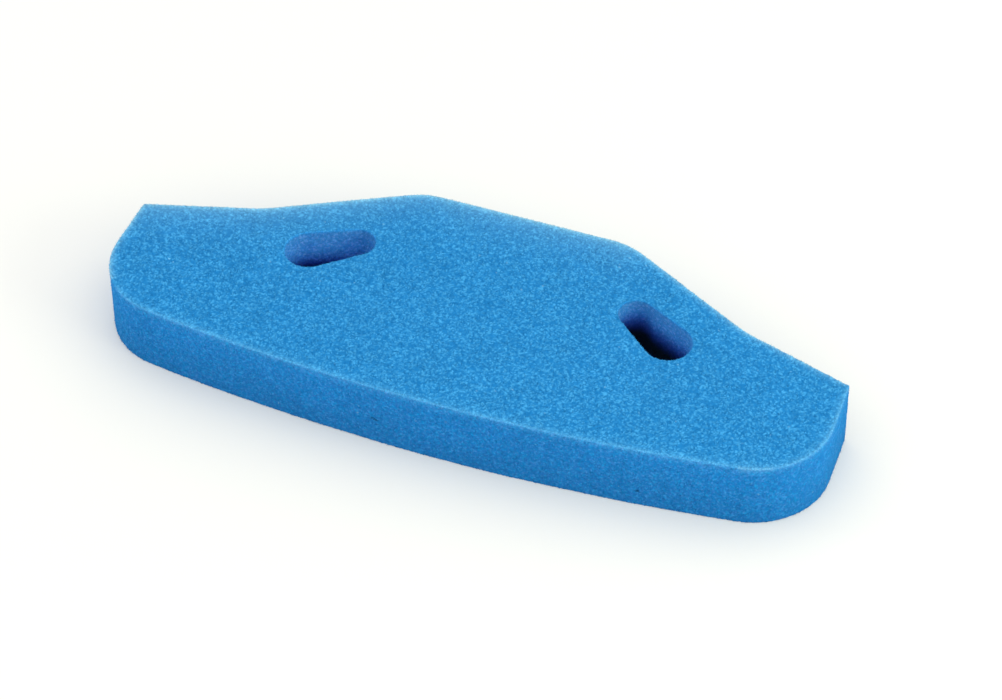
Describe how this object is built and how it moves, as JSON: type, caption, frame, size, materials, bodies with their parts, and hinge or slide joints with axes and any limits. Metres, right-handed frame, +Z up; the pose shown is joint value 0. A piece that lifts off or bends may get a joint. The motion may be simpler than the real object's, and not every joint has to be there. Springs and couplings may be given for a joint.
{
  "type": "sponge filter",
  "caption": "Wing-shaped slab of blue open-cell filter foam with a bowed front edge, tapered shoulders and slanting through slots, for a pond or aquarium filter.",
  "frame": {"origin": "middle of the bounding box, on the flat face that the slab rests on", "axes": "+X along the slab's length, +Y from the bowed front edge to the short straight back edge, +Z up through its thickness"},
  "size_m": [0.4, 0.147, 0.04],
  "materials": {
    "blue_foam": "matte, finely porous open-cell polyurethane foam"
  },
  "bodies": {
    "root": {"filter_foam": "blue_foam"}
  },
  "joints": []
}
